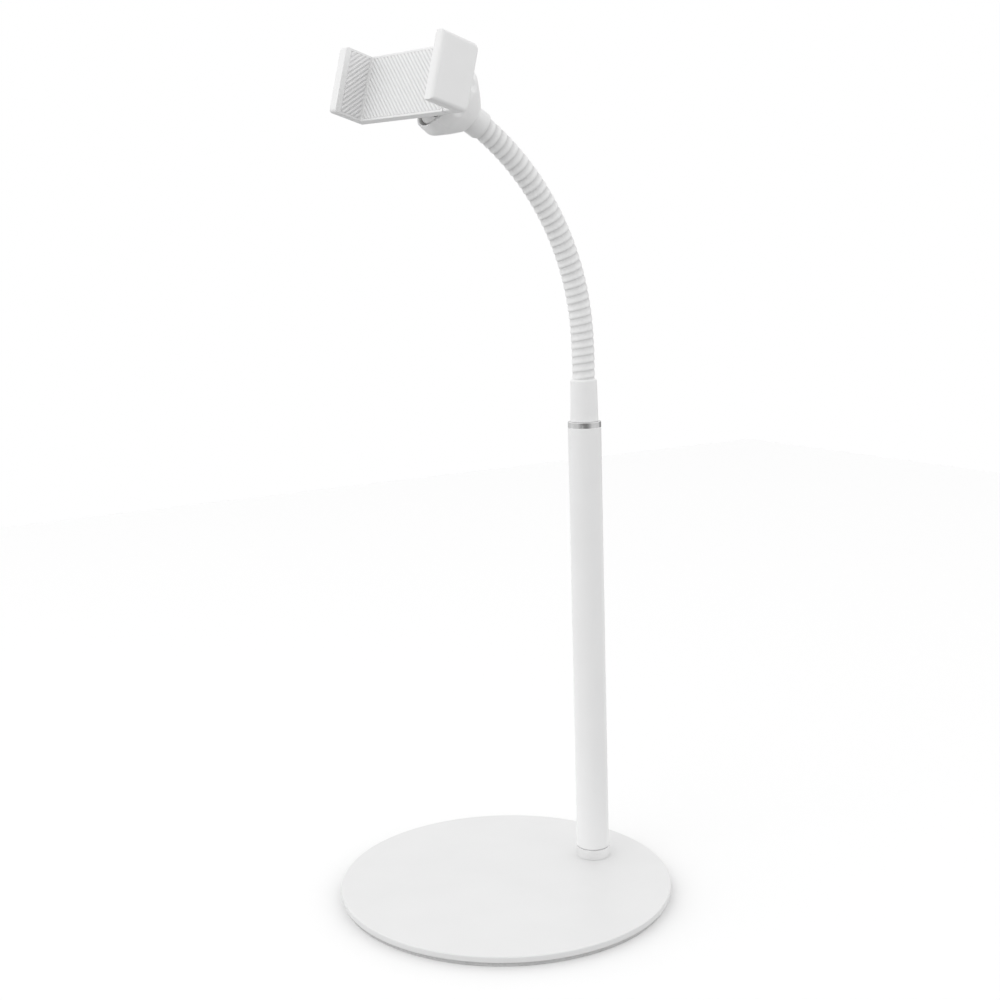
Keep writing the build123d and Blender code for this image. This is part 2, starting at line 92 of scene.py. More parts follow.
SIDE = Vector((1, 0, 0))
UP = Vector((0, 0, 1))
FULL_TURN = 2 * math.pi
ROUND_STEPS = 5
STEPS_PER_METRE = 3000
BEVEL_STEPS = 3
LATHE_STEPS = 128
DISC_STEPS = 256
BORE_STEPS = 64
SCREW_STEPS = 48
SHARP_ANGLE = math.radians(34)
FLAT_ANGLE = math.radians(0.6)
MERGE_DISTANCE = 2e-6
WHITE = (1.0, 1.0, 1.0)


# Places that the frame gives


def joint_point(name):
    """Where a joint turns, at rest."""
    return Vector(joints[name]["pos_m"])


def joint_axis(name):
    """Direction of a joint, at rest."""
    return Vector(joints[name]["axis"]).normalized()


def heights(node):
    """How high a CAD node's lowest and highest points lie."""
    low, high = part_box(node)
    return low.z, high.z


def axes_matrix(x_dir, y_dir, z_dir, origin):
    """Matrix that takes a piece's own axes to the given directions and place."""
    turn = Matrix((x_dir, y_dir, z_dir)).transposed().to_4x4()
    return Matrix.Translation(origin) @ turn


head_axis = joint_axis("nut_turn")
clamp_out = joint_axis("clamp_spin")
clamp_wide = joint_axis("jaw_slide")
clamp_tall = clamp_out.cross(clamp_wide)
pole_low, pole_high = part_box("pole_tube")
pole_centre = (pole_low + pole_high) / 2
neck_joint_names = [name for name in joints if name.startswith("neck_")]
neck_corners = [Vector((0, pole_centre.y, heights("lower_collar")[1]))]
neck_corners += [joint_point(name) for name in neck_joint_names]
link_length = (neck_corners[1] - neck_corners[0]).length

# Pieces on the pole's axis, and on the neck's end axis with their origin at the last bend
pole_matrix = Matrix.Translation((0, pole_centre.y, 0))
head_matrix = axes_matrix(SIDE, head_axis.cross(SIDE), head_axis, neck_corners[-1])


# Settings


def metres(label, description, default):
    """Length that a user may change."""
    return FloatProperty(name=label, description=description, default=default, unit="LENGTH")


def number(label, description, default):
    """Plain number that a user may change."""
    return FloatProperty(name=label, description=description, default=default)


def whole(label, description, default):
    """Count that a user may change."""
    return IntProperty(name=label, description=description, default=default)


def degrees(label, description, default):
    """Angle that a user may change."""
    return FloatProperty(name=label, description=description, default=math.radians(default), subtype="ANGLE")


def tint(label, description, default):
    """Colour that a user may change."""
    return FloatVectorProperty(name=label, description=description, default=default, subtype="COLOR")


class BaseSettings(bpy.types.PropertyGroup):
    """Round base and its pad"""

    diameter: metres("Diameter", "Width of the base plate", 0.16)
    thickness: metres("Thickness", "Steel plate", 0.003)
    edge_radius: metres("Edge", "Rounding of the rim", 0.0005)
    pad_thickness: metres("Pad", "Anti-slip pad", 0.002)
    pad_inset: metres("Pad Inset", "Pad behind the rim", 0.0012)
    pad_edge: metres("Pad Edge", "Rounding of the pad's foot", 0.0003)
    bolt_hole: metres("Bolt Hole", "Hole for the bolt", 0.0084)
    head_pocket: metres("Head Pocket", "Hole in the pad", 0.018)


class PoleSettings(bpy.types.PropertyGroup):
    """Pole, chrome rings and collars"""

    diameter: metres("Diameter", "Pole tube", 0.016)
    wall: metres("Wall", "Wall of the tube", 0.0012)
    top_edge: metres("Top Edge", "Tube's upper rounding", 0.0002)
    foot_edge: metres("Foot Edge", "Tube's lower rounding", 0.0006)
    ring_diameter: metres("Foot Ring", "Chrome foot ring", 0.0168)
    ring_edge: metres("Ring Edge", "Rounding of the rings", 0.0002)
    collar_diameter: metres("Collar", "Collar's foot", 0.0135)
    collar_top: metres("Collar Top", "Collar's upper end", 0.0126)
    collar_bore: metres("Collar Bore", "Hole for the coil", 0.0089)
    collar_lip: metres("Collar Lip", "Rounding of the lip", 0.0011)
    collar_edge: metres("Collar Edge", "Rounding of the foot and of the bore", 0.0004)


class NeckSettings(bpy.types.PropertyGroup):
    """Coiled neck"""

    crest_diameter: metres("Crest", "Over the ridges", 0.011)
    root_diameter: metres("Root", "In the grooves", 0.0102)
    pitch: metres("Pitch", "From turn to turn", 0.00369)
    fullness: number("Fullness", "How long a ridge stays high", 1.5)
    crest_place: number("Crest Place", "Part of a pitch below the crest", 0.3)
    phase: number("Phase", "Turn at which the winding starts", 0.45)
    rows: whole("Rows", "Rows of faces in one turn's pitch", 24)
    around: whole("Around", "Faces around the coil", 56)


class NutSettings(bpy.types.PropertyGroup):
    """Lobed lock nut, measured along the neck's end"""

    rear: metres("Rear", "Distance from the neck's end", 0.0089)
    length: metres("Length", "Along the axis", 0.0168)
    rear_diameter: metres("Rear Diameter", "Back face", 0.0154)
    rear_edge: metres("Rear Edge", "Rounding of the back face", 0.0004)
    shoulder_diameter: metres("Shoulder", "Shoulder", 0.0234)
    shoulder: metres("Shoulder Height", "From the back", 0.0043)
    shoulder_edge: metres("Shoulder Edge", "Rounding of the shoulder", 0.0012)
    diameter: metres("Diameter", "Over the lobes", 0.0348)
    waist: metres("Waist", "From the front to the widest", 0.0055)
    belly: metres("Belly", "Rounding of the widest part", 0.006)
    rim_diameter: metres("Rim", "Front rim", 0.0328)
    rim_wall: metres("Rim Wall", "Wall at the rim", 0.0012)
    rim_edge: metres("Rim Edge", "Rounding of the rim", 0.0006)
    core_width: metres("Core", "Groove behind the rim", 0.0015)
    core_depth: metres("Core Depth", "Depth of the groove", 0.005)
    core_edge: metres("Core Edge", "Rounding in the groove", 0.0002)
    face_drop: metres("Face", "Inner face below the rim", 0.0002)
    edge: metres("Edge", "Rounding of the inner edges", 0.0003)
    throat: metres("Throat", "Bottom of the dish", 0.0183)
    dish_depth: metres("Dish", "Depth of the dish", 0.0027)
    bore: metres("Bore", "Thread", 0.0211)
    thread_drop: metres("Thread Drop", "From the dish to the thread", 0.0044)
    hub_bore: metres("Hub Bore", "Round the hub", 0.017)
    hub_top: metres("Hub Top", "Upper end of the hub's bore, from the back", 0.0036)
    hub_floor: metres("Hub Floor", "Lower end of the hub's bore, from the back", 0.002)
    rear_bore: metres("Rear Bore", "Round the collar", 0.0133)
    lobes: whole("Lobes", "Number of finger lobes", 8)
    groove_radius: metres("Groove", "Radius of a groove", 0.0042)
    groove_depth: metres("Groove Depth", "Depth", 0.0017)
    phase: degrees("Phase", "Turn of the lobes", 22.5)
    softness: metres("Softness", "Rounding of the lobes", 0.0007)


class ClampSettings(bpy.types.PropertyGroup):
    """Phone clamp and its ribbed pads"""

    edge: metres("Edge", "Rounding of moulded edges", 0.00035)
    plate_width: metres("Plate", "Width of the plate", 0.0567)
    height: metres("Height", "Height of the jaws", 0.0294)
    jaw_depth: metres("Jaw Depth", "Jaws in front of the plate", 0.0146)
    foot_width: metres("Foot", "Foot of the moving jaw", 0.0052)
    pad_rim: metres("Pad Rim", "Frame round a pad", 0.001)
    pad_gap: metres("Pad Gap", "Room round a pad in its recess", 0.00005)
    end_rim: metres("End Rim", "Bare end of a jaw", 0.003)
    recess: metres("Recess", "Depth of the pad recess", 0.0008)
    pad_base: metres("Pad Base", "Pad under the ribs", 0.0006)
    rib_height: metres("Rib Height", "Height of a rib", 0.00035)
    rib_fullness: number("Fullness", "Below 1 the ribs are broad, above 1 narrow", 0.8)
    rib_lines: whole("Rib Lines", "Lines of faces in one rib", 12)
    rib_pitch: metres("Rib Pitch", "From rib to rib", 0.0017)
    rib_slant: degrees("Slant", "Lean of the ribs", 45)


class ScrewSettings(bpy.types.PropertyGroup):
    """Screws of the rear cover, in the clamp's own frame"""

    left: metres("Left", "From the plate's left end", 0.0013)
    right: metres("Right", "From the seam", 0.004)
    row: metres("Row", "From the middle to a row", 0.0096)
    seat: metres("Seat", "Depth of the heads' seats", -0.0052)
    head_diameter: metres("Head", "Diameter of a head", 0.004)
    head_height: metres("Head Height", "Height of a head", 0.0008)
    diameter: metres("Diameter", "Diameter of a shaft", 0.0022)
    length: metres("Length", "Length of a shaft", 0.0032)
    slot: metres("Slot", "Width of the cross", 0.0006)
    slot_depth: metres("Slot Depth", "Depth of the cross", 0.0005)
    slot_reach: number("Slot Reach", "Reach of the cross, as a share of the head", 0.65)
    seed: whole("Seed", "Turn of each screw", 4)


class FinishSettings(bpy.types.PropertyGroup):
    """Colours"""

    coat: tint("Coat", "Powder coat", (0.8, 0.8, 0.8))
    plastic: tint("Plastic", "Moulding", (0.8, 0.8, 0.8))
    neck: tint("Neck", "Coated coil", (0.81, 0.81, 0.81))
    pad: tint("Pads", "Ribbed rubber", (0.8, 0.8, 0.8))
    foam: tint("Base Pad", "Foam rubber", (0.59, 0.59, 0.59))
    # Socket colour: the socket's own dark nylon, and also painted shade for the nut's dish
    socket: tint("Socket", "Ball socket", (0.16, 0.16, 0.165))


class HolderSettings(bpy.types.PropertyGroup):
    """All settings of the holder"""

    base: PointerProperty(type=BaseSettings)
    pole: PointerProperty(type=PoleSettings)
    neck: PointerProperty(type=NeckSettings)
    nut: PointerProperty(type=NutSettings)
    clamp: PointerProperty(type=ClampSettings)
    screw: PointerProperty(type=ScrewSettings)
    finish: PointerProperty(type=FinishSettings)


def settings():
    """The scene's holder settings."""
    return bpy.context.scene.phone_holder


# Materials


class Nodes:
    """Short way to add and link the nodes of one tree, with the material that owns it, if one does."""

    def __init__(self, tree, owner=None):
        self.tree = tree
        self.owner = owner

    def add(self, kind, values=None, **fields):
        """New node with its fields and input values, where a socket as a value is linked."""
        node = self.tree.nodes.new(kind)
        for field, value in fields.items():
            setattr(node, field, value)
        for key, value in (values or {}).items():
            self.put(node.inputs[key], value)
        return node

    def out(self, kind, values=None, **fields):
        """First output of a new node."""
        return self.add(kind, values, **fields).outputs[0]

    def put(self, socket, value):
        """Links a socket to another, or sets its value."""
        if isinstance(value, bpy.types.NodeSocket):
            self.tree.links.new(value, socket)
        else:
            socket.default_value = value

    def math(self, operation, *values):
        """Result of a Math node."""
        return self.out("ShaderNodeMath", dict(enumerate(values)), operation=operation)

    def plus(self, first, second):
        """Sum of two numbers."""
        return self.math("ADD", first, second)

    def minus(self, first, second):
        """Difference of two numbers."""
        return self.math("SUBTRACT", first, second)

    def times(self, first, second):
        """Product of two numbers."""
        return self.math("MULTIPLY", first, second)

    def over(self, first, second):
        """Quotient of two numbers."""
        return self.math("DIVIDE", first, second)

    def vector(self, operation, first, second):
        """Vector that a Vector Math node makes of two."""
        return self.out("ShaderNodeVectorMath", {0: first, 1: second}, operation=operation)

    def scaled(self, vector, factor):
        """Vector times a number."""
        return self.out("ShaderNodeVectorMath", {0: vector, "Scale": factor}, operation="SCALE")

    def towards(self, direction, side):
        """How far a direction points to a side."""
        values = {0: direction, 1: side}
        return self.add("ShaderNodeVectorMath", values, operation="DOT_PRODUCT").outputs["Value"]

    def parts(self, vector):
        """X, Y and Z of a vector."""
        return self.add("ShaderNodeSeparateXYZ", {"Vector": vector}).outputs

    def marked(self, geometry, label, value):
        """Geometry whose points keep a number."""
        values = {"Geometry": geometry, "Name": label, "Value": value}
        return self.out("GeometryNodeStoreNamedAttribute", values, domain="POINT", data_type="FLOAT")


def grey(level):
    """Opaque grey colour."""
    return (level, level, level, 1.0)


def noise(tree, scale, detail=3.0, stretch=(1, 1, 1)):
    """Noise on Object coordinates; the scale counts bumps in a metre."""
    place = tree.add("ShaderNodeTexCoord").outputs["Object"]
    mapped = tree.out("ShaderNodeMapping", {"Vector": place, "Scale": stretch})
    return tree.out("ShaderNodeTexNoise", {"Vector": mapped, "Scale": scale, "Detail": detail})


def ramp(tree, factor, colour, low, high, start=0.3, end=0.7):
    """Colour that a factor takes from darker to brighter; low and high multiply it."""
    node = tree.add("ShaderNodeValToRGB", {"Fac": factor})
    for element, position, level in zip(node.color_ramp.elements, (start, end), (low, high)):
        element.position = position
        element.color = (*(min(1.0, channel * level) for channel in colour), 1.0)
    return node.outputs["Color"]


def span(tree, factor, low, high, start=0.3, end=0.7):
    """Number between two numbers by a factor."""
    values = {"Value": factor, "From Min": start, "From Max": end, "To Min": low, "To Max": high}
    return tree.out("ShaderNodeMapRange", values)


def new_material(name):
    """Nodes of a new material."""
    material = bpy.data.materials.new(name)
    material.use_nodes = True
    return Nodes(material.node_tree, material)


def finish_material(tree, colour, roughness, height, strength, distance, metallic=0.0):
    """Material with a principled shader and a bump; colour, roughness and height are sockets."""
    inputs = tree.tree.nodes["Principled BSDF"].inputs
    tree.put(inputs["Base Color"], colour)
    tree.put(inputs["Roughness"], roughness)
    tree.put(inputs["Metallic"], metallic)
    bump = {"Height": height, "Strength": strength, "Distance": distance}
    tree.put(inputs["Normal"], tree.out("ShaderNodeBump", bump))
    return tree.owner


def white_coat():
    """Smooth white powder coat with a faint orange peel."""
    tree = new_material("white_coat")
    patches = noise(tree, scale=35)
    peel = noise(tree, scale=900, detail=2.0)
    tone = ramp(tree, patches, settings().finish.coat, low=0.985, high=1.01)
    rough = span(tree, patches, low=0.3, high=0.42)
    return finish_material(tree, tone, rough, peel, strength=0.08, distance=0.0002)


def coil_coat():
    """White coat on the coil, with painted shade that greys it down in the grooves."""
    tree = new_material("coil_coat")
    ridge = tree.add("ShaderNodeAttribute", attribute_name="ridge").outputs["Fac"]
    grain = noise(tree, scale=700, detail=4.0)
    # Painted shade: the ridge attribute darkens the coat in the grooves, and the grain adds random tone on
    # top
    tone_factor = tree.plus(ridge, span(tree, grain, low=-0.12, high=0.12))
    tone = ramp(tree, tone_factor, settings().finish.neck, low=0.78, high=1.03, start=0.05, end=0.95)
    rough = span(tree, tone_factor, low=0.55, high=0.34, start=0.0, end=1.0)
    return finish_material(tree, tone, rough, grain, strength=0.1, distance=0.0002)


def white_moulding():
    """Satin white moulded plastic with a fine spark-eroded grain."""
    tree = new_material("white_moulding")
    patches = noise(tree, scale=60)
    grain = noise(tree, scale=3200, detail=2.0)
    tone = ramp(tree, patches, settings().finish.plastic, low=0.985, high=1.01)
    rough = span(tree, grain, low=0.38, high=0.5)
    return finish_material(tree, tone, rough, grain, strength=0.1, distance=0.00006)


def rib_rubber():
    """Pale ribbed rubber, dull, with painted shade between its ribs and a random dusty mottle."""
    tree = new_material("rib_rubber")
    crest = tree.add("ShaderNodeAttribute", attribute_name="crest").outputs["Fac"]
    tone_factor = noise(tree, scale=400, detail=4.0)
    # Painted shade: the crest attribute darkens the rubber between the ribs, and the noise adds random dust
    groove_shade_and_dust = tree.plus(crest, span(tree, tone_factor, low=-0.06, high=0.06))
    tone = ramp(tree, groove_shade_and_dust, settings().finish.pad, low=0.8, high=1.0, start=0.05, end=0.75)
    rough = span(tree, tone_factor, low=0.6, high=0.75)
    return finish_material(tree, tone, rough, tone_factor, strength=0.02, distance=0.0001)


def base_foam():
    """Grey foam rubber with open pores."""
    tree = new_material("base_foam")
    place = tree.add("ShaderNodeTexCoord").outputs["Object"]
    pores = tree.add("ShaderNodeTexVoronoi", {"Vector": place, "Scale": 1100.0}).outputs["Distance"]
    tone = ramp(tree, pores, settings().finish.foam, low=0.82, high=1.05, start=0.1, end=0.5)
    rough = span(tree, pores, low=0.9, high=0.75, start=0.0, end=0.6)
    return finish_material(tree, tone, rough, pores, strength=0.4, distance=0.0003)


def polished_chrome():
    """Polished chrome with faint turning lines."""
    tree = new_material("polished_chrome")
    lines = noise(tree, scale=400, stretch=(0.2, 0.2, 6.0))
    smudge = noise(tree, scale=150)
    tone = ramp(tree, smudge, WHITE, low=0.9, high=0.96)
    rough = tree.plus(span(tree, smudge, low=0.04, high=0.1), span(tree, lines, low=0.0, high=0.05))
    return finish_material(tree, tone, rough, lines, strength=0.03, distance=0.00004, metallic=1.0)


def zinc_steel():
    """Zinc-plated steel with turning marks."""
    tree = new_material("zinc_steel")
    streaks = noise(tree, scale=700, stretch=(1.0, 1.0, 5.0))
    spots = noise(tree, scale=250, detail=5.0)
    tone = ramp(tree, spots, WHITE, low=0.5, high=0.62)
    rough = span(tree, streaks, low=0.24, high=0.42)
    return finish_material(tree, tone, rough, streaks, strength=0.1, distance=0.00005, metallic=1.0)


def socket_plastic():
    """Dark glass-filled nylon of the ball socket; the dark colour also stands in for the shade inside the
    nut's dish.
    """
    tree = new_material("socket_plastic")
    grain = noise(tree, scale=2200, detail=3.0)
    tone = ramp(tree, grain, settings().finish.socket, low=0.85, high=1.2)
    rough = span(tree, grain, low=0.4, high=0.55)
    return finish_material(tree, tone, rough, grain, strength=0.12, distance=0.0001)


FINISHES = {
    "white_paint": white_coat,
    "neck_white": coil_coat,
    "chrome": polished_chrome,
    "white_plastic": white_moulding,
    "socket_plastic": socket_plastic,
    "pad_rubber": rib_rubber,
    "base_rubber": base_foam,
    "steel": zinc_steel,
}


def finish_for(slot_name):
    """Material of one of the record's slots, made on first use."""
    material = bpy.data.materials.get(FINISHES[slot_name].__name__)
    return material or FINISHES[slot_name]()


# Making and placing pieces


def placed(name, data):
    """New object in the scene."""
    thing = bpy.data.objects.new(name, data)
    bpy.context.scene.collection.objects.link(thing)
    return thing


def evaluated(thing):
    """Object as its modifiers leave it."""
    return thing.evaluated_get(bpy.context.evaluated_depsgraph_get())


def write_mesh(bm, mesh):
    """Moves an edited mesh's faces into a mesh."""
    bm.to_mesh(mesh)
    bm.free()
    return mesh


def smooth(mesh):
    """Smooth faces, sharp at steep corners, where large faces set the shading."""
    mesh.shade_smooth()
    mesh.set_sharp_from_angle(angle=SHARP_ANGLE)
    holder = placed(mesh.name, mesh)
    weighted = holder.modifiers.new("weighted", "WEIGHTED_NORMAL")
    weighted.keep_sharp = True
    normals = [corner.vector.copy() for corner in evaluated(holder).data.corner_normals]
    bpy.data.objects.remove(holder)
    mesh.normals_split_custom_set(normals)


def paint(mesh, slot_name):
    """Gives a mesh the material of a slot alone."""
    mesh.materials.clear()
    mesh.materials.append(finish_for(slot_name))


def piece_from(mesh, slot_name):
    """New object for a finished mesh, with its name and its material."""
    piece = placed(mesh.name, mesh)
    paint(mesh, slot_name)
    return piece


def stand_in(mesh, node):
    """Piece that takes the place of a CAD node and rides on its body."""
    piece = piece_from(mesh, node_slots[node])
    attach(piece, frame["nodes"][node]["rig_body"])
    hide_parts(node)


def rounded(corners):
    """Closed outline from (radius, height, rounding) corners, with an arc at each rounded one."""
    outline = []
    for index, (x, y, radius) in enumerate(corners):
        here = Vector((x, y))
        if radius <= 0:
            outline.append(here)
            continue
        before = (Vector(corners[index - 1][:2]) - here).normalized()
        after = (Vector(corners[(index + 1) % len(corners)][:2]) - here).normalized()
        half = before.angle(after) / 2
        reach = radius / math.tan(half)
        centre = here + (before + after).normalized() * (radius / math.sin(half))
        first = here + before * reach - centre
        last = here + after * reach - centre
        steps = max(ROUND_STEPS, round(radius * STEPS_PER_METRE))
        for step in range(steps + 1):
            arm = first.lerp(last, step / steps)
            outline.append(centre + arm.normalized() * radius)
    return [(point.x, point.y) for point in outline]


def ring_mesh(name, rings):
    """Closed mesh through rings of points, each ring joined to the next and the last to the first."""
    bm = bmesh.new()
    loops = [[bm.verts.new(point) for point in ring] for ring in rings]
    for lower, upper in zip(loops, loops[1:] + loops[:1]):
        count = max(len(lower), len(upper))
        if count == 1:
            continue
        for index in range(count):
            following = (index + 1) % count
            corners = [lower[index % len(lower)], lower[following % len(lower)]]
            corners += [upper[following % len(upper)], upper[index % len(upper)]]
            bm.faces.new(dict.fromkeys(corners))
    bmesh.ops.recalc_face_normals(bm, faces=bm.faces)
    return write_mesh(bm, bpy.data.meshes.new(name))


def lathe(name, corners, matrix, steps=LATHE_STEPS, lobed=None):
    """Turned piece from a closed half section of (radius, height, rounding) corners.

    A function of radius and angle may give the radius of a piece with lobes.
    """
    angles = [FULL_TURN * step / steps for step in range(steps)]
    rings = []
    for radius, height in rounded(corners):
        ring = []
        for angle in angles if radius > MERGE_DISTANCE else [0]:
            reach = lobed(radius, angle) if lobed else radius
            ring.append(Vector((reach * math.cos(angle), reach * math.sin(angle), height)))
        rings.append(ring)
    mesh = ring_mesh(name, rings)
    mesh.transform(matrix)
    smooth(mesh)
    return mesh


def moulded_copy(name, node, edge):
    """Copy of a CAD node's mesh with its sharp edges rounded."""
    mesh = frame["nodes"][node].data.copy()
    mesh.name = name
    bm = bmesh.new()
    bm.from_mesh(mesh)
    bmesh.ops.remove_doubles(bm, verts=bm.verts, dist=MERGE_DISTANCE)
    bmesh.ops.dissolve_limit(bm, angle_limit=FLAT_ANGLE, verts=bm.verts, edges=bm.edges)
    sharp = [e for e in bm.edges if e.is_manifold and e.calc_face_angle() > SHARP_ANGLE]
    bmesh.ops.bevel(
        bm, geom=sharp, offset=edge, offset_type="OFFSET", segments=BEVEL_STEPS, profile=0.5,
        affect="EDGES", clamp_overlap=True, miter_outer="ARC",
    )
    bmesh.ops.triangulate(bm, faces=[f for f in bm.faces if len(f.verts) > 4])
    write_mesh(bm, mesh)
    for label in ("custom_normal", "sharp_face"):
        if label in mesh.attributes:
            mesh.attributes.remove(mesh.attributes[label])
    smooth(mesh)
    return mesh


def carved(mesh, *tools):
    """The mesh with the shapes of the tools cut out."""
    name = mesh.name
    blank = placed(name, mesh)
    cutters = []
    for tool in tools:
        cutter = placed(tool.name, tool)
        cut = blank.modifiers.new(tool.name, "BOOLEAN")
        cut.operation = "DIFFERENCE"
        cut.solver = "EXACT"
        cut.object = cutter
        cutters.append(cutter)
    result = bpy.data.meshes.new_from_object(evaluated(blank))
    for part in (blank, *cutters):
        bpy.data.objects.remove(part)
    for part in (mesh, *tools):
        bpy.data.meshes.remove(part)
    result.name = name
    smooth(result)
    return result


def block(name, low, high):
    """Box between two corners."""
    bm = bmesh.new()
    low, high = Vector(low), Vector(high)
    size = Matrix.Diagonal((high - low).to_4d())
    bmesh.ops.create_cube(bm, size=1.0, matrix=Matrix.Translation((low + high) / 2) @ size)
    return write_mesh(bm, bpy.data.meshes.new(name))


def pole_bore(radius, low, high):
    """Round tool along the pole's axis."""
    corners = [(0, low, 0), (radius, low, 0), (radius, high, 0), (0, high, 0)]
    return lathe("bore", corners, pole_matrix, BORE_STEPS)


def clamp_matrix():
    """Matrix of the clamp: its plate's centre, with X towards the moving jaw and Z towards the phone."""
    clamp = settings().clamp
    proud = clamp.pad_base - clamp.recess + clamp.rib_height
    centre = Vector(mounts["phone_grip"]["pos_m"]) - clamp_out * proud
    return axes_matrix(clamp_wide, clamp_tall, clamp_out, centre)


def field_values(data, field, width=1):
    """One field of a mesh's points, as an array."""
    values = np.zeros(len(data) * width)
    data.foreach_get(field, values)
    return values.reshape(-1, width) if width > 1 else values


# Geometry Nodes


def node_group(name, inputs):
    """New geometry tree with its inputs, given as {socket type: names}."""
    group = bpy.data.node_groups.new(name, "GeometryNodeTree")
    group.interface.new_socket("Geometry", in_out="INPUT", socket_type="NodeSocketGeometry")
    for kind, labels in inputs.items():
        for label in labels:
            group.interface.new_socket(label, in_out="INPUT", socket_type=kind)
    group.interface.new_socket("Geometry", in_out="OUTPUT", socket_type="NodeSocketGeometry")
    tree = Nodes(group)
    return group, tree, tree.add("NodeGroupInput").outputs


def end_tree(tree, geometry, material):
    """Realizes instances, sets the material and ends the tree."""
    real = tree.out("GeometryNodeRealizeInstances", {"Geometry": geometry})
    dressed = tree.out("GeometryNodeSetMaterial", {"Geometry": real, "Material": material})
    tree.add("NodeGroupOutput", {"Geometry": dressed})


def open_sheet(tree, width, columns, rows):
    """Flat sheet of faces, one metre high, and the places of its points."""
    sizes = {"Size X": width, "Size Y": 1.0, "Vertices X": columns, "Vertices Y": rows}
    sheet = tree.out("GeometryNodeMeshGrid", sizes)
    return sheet, tree.parts(tree.out("GeometryNodeInputPosition"))


def close_sheet(tree, sheet, position, material):
    """Moves a sheet's points, joins its edges, turns its faces outwards and ends the tree."""
    wrapped = tree.out("GeometryNodeSetPosition", {"Geometry": sheet, "Position": position})
    closed = tree.out("GeometryNodeMergeByDistance", {"Geometry": wrapped, "Distance": MERGE_DISTANCE})
    end_tree(tree, tree.out("GeometryNodeFlipFaces", {"Mesh": closed}), material)


def grown_mesh(name, source, group, values):
    """Plain mesh that a geometry tree makes from a source mesh."""
    holder = placed(name + "_source", source)
    modifier = holder.modifiers.new(group.name, "NODES")
    modifier.node_group = group
    for item in group.interface.items_tree:
        if item.item_type == "SOCKET" and item.in_out == "INPUT" and item.name in values:
            modifier[item.identifier] = values[item.name]
    mesh = bpy.data.meshes.new_from_object(evaluated(holder))
    mesh.name = name
    holder.modifiers.remove(modifier)
    bpy.data.objects.remove(holder)
    bpy.data.meshes.remove(source)
    return mesh


def line_mesh(name, points, edges):
    """Mesh of loose points and edges."""
    mesh = bpy.data.meshes.new(name)
    mesh.from_pydata([tuple(point) for point in points], edges, [])
    return mesh


def coil_tree():
    """Tree that winds a ridged coil round a path.

    The rows of faces follow the winding, so that each ridge is clean. The crest of each turn lies nearer its
    lower side.
    """
    group, tree, given = node_group("wound_coil", {
        "NodeSocketFloat": (
            "Turns", "Pitch", "Crest Radius", "Root Radius", "Fullness", "Crest Place", "Phase",
        ),
        "NodeSocketInt": ("Rows", "Around"),
        "NodeSocketMaterial": ("Material",),
    })
    path = tree.out("GeometryNodeMeshToCurve", {"Mesh": given["Geometry"]})
    sheet, place = open_sheet(tree, given["Turns"], given["Rows"], given["Around"])
    wound = tree.plus(place["X"], tree.times(given["Turns"], 0.5))
    station = tree.times(tree.plus(wound, place["Y"]), given["Pitch"])
    angle = tree.times(place["Y"], FULL_TURN)
    turned = tree.math("FRACT", tree.plus(wound, given["Phase"]))
    past = tree.minus(turned, given["Crest Place"])
    below = tree.over(past, tree.times(given["Crest Place"], -1.0))
    above = tree.over(past, tree.minus(1.0, given["Crest Place"]))
    across = tree.math("MAXIMUM", below, above)
    ridge = tree.minus(1.0, tree.math("POWER", across, given["Fullness"]))
    depth = tree.minus(given["Crest Radius"], given["Root Radius"])
    radius = tree.plus(given["Root Radius"], tree.times(ridge, depth))
    sample = tree.add("GeometryNodeSampleCurve", {"Curves": path, "Length": station}, mode="LENGTH").outputs
    side = tree.out("ShaderNodeCombineXYZ", {"X": 1.0})
    front = tree.vector("CROSS_PRODUCT", sample["Tangent"], side)
    reach_side = tree.scaled(side, tree.times(radius, tree.math("COSINE", angle)))
    reach_front = tree.scaled(front, tree.times(radius, tree.math("SINE", angle)))
    point = tree.vector("ADD", sample["Position"], tree.vector("ADD", reach_side, reach_front))
    marked = tree.marked(tree.marked(sheet, "ridge", ridge), "station", station)
    close_sheet(tree, marked, point, given["Material"])
    return group


